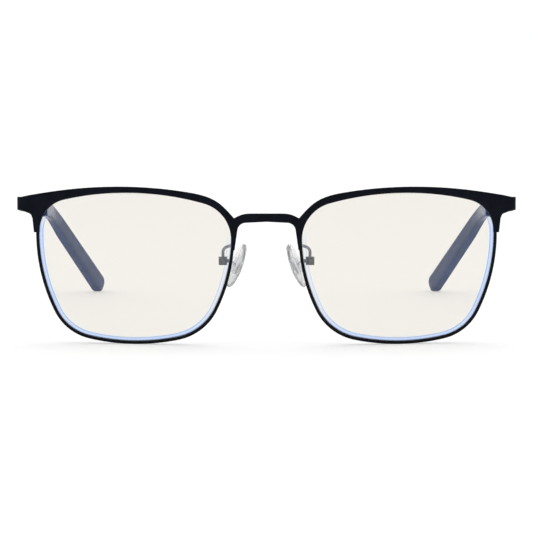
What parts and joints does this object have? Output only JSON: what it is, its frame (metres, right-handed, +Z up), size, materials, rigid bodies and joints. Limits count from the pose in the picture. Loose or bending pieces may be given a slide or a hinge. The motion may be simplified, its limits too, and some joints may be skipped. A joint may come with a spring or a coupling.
{
  "type": "glasses",
  "caption": "Half-brow blue light glasses: dark sheet-metal brow and bridge over thin metal rims, clear curved lenses, soft nose pads, folding flat temples with translucent blue tips.",
  "frame": {"origin": "middle of the bounding box in X and Y, on the table plane that the rims and temple tips rest on", "axes": "+Z up, the front faces -Y, the temples run back to +Y, +X is the wearer's left"},
  "size_m": [0.1408, 0.1492, 0.0446],
  "materials": {
    "brow_metal": "satin dark navy-black lacquer on sheet metal",
    "rim_metal": "satin black lacquer",
    "temple_metal": "satin dark blue-grey lacquer",
    "hinge_metal": "gunmetal",
    "silver_metal": "silver",
    "lens": "clear lens plastic with a faint warm tint and a blue anti-reflection edge",
    "clear_silicone": "clear soft silicone",
    "tip_acetate": "polished translucent blue acetate",
    "nylon": "thin nylon"
  },
  "bodies": {
    "front": {"brow_bridge": "brow_metal", "rim_left": "rim_metal", "rim_right": "rim_metal", "lens_left": "lens", "lens_right": "lens", "rim_lock_upper_left": "rim_metal", "rim_lock_upper_right": "rim_metal", "rim_lock_lower_left": "rim_metal", "rim_lock_lower_right": "rim_metal", "rim_screw_left": "silver_metal", "rim_screw_right": "silver_metal", "pad_arm_left": "silver_metal", "pad_arm_right": "silver_metal", "pad_box_left": "silver_metal", "pad_box_right": "silver_metal", "pad_screw_left": "silver_metal", "pad_screw_right": "silver_metal", "front_hinge_left": "hinge_metal", "front_hinge_right": "hinge_metal", "hinge_screw_left": "silver_metal", "hinge_screw_right": "silver_metal", "washer_upper_left": "nylon", "washer_upper_right": "nylon", "washer_lower_left": "nylon", "washer_lower_right": "nylon"},
    "temple_left": {"temple_hinge_left": "hinge_metal", "temple_left": "temple_metal", "temple_tip_left": "tip_acetate"},
    "pad_left": {"pad_insert_left": "silver_metal", "nose_pad_left": "clear_silicone"},
    "temple_right": {"temple_hinge_right": "hinge_metal", "temple_right": "temple_metal", "temple_tip_right": "tip_acetate"},
    "pad_right": {"pad_insert_right": "silver_metal", "nose_pad_right": "clear_silicone"}
  },
  "joints": [
    {"name": "temple_fold_left", "type": "hinge", "parent": "front", "child": "temple_left", "pos_m": [0.0677, -0.05284, 0.03819], "axis": [0, 0.0976, 0.9952], "range_deg": [0, 86]},
    {"name": "temple_fold_right", "type": "hinge", "parent": "front", "child": "temple_right", "pos_m": [-0.0677, -0.05284, 0.03819], "axis": [0, -0.0976, -0.9952], "range_deg": [0, 79]},
    {"name": "nose_pad_rock_left", "type": "hinge", "parent": "front", "child": "pad_left", "pos_m": [0.01226, -0.06486, 0.02327], "axis": [0, 0.9952, -0.0976], "range_deg": [-8, 8]},
    {"name": "nose_pad_rock_right", "type": "hinge", "parent": "front", "child": "pad_right", "pos_m": [-0.01226, -0.06486, 0.02327], "axis": [0, 0.9952, -0.0976], "range_deg": [-8, 8]}
  ]
}
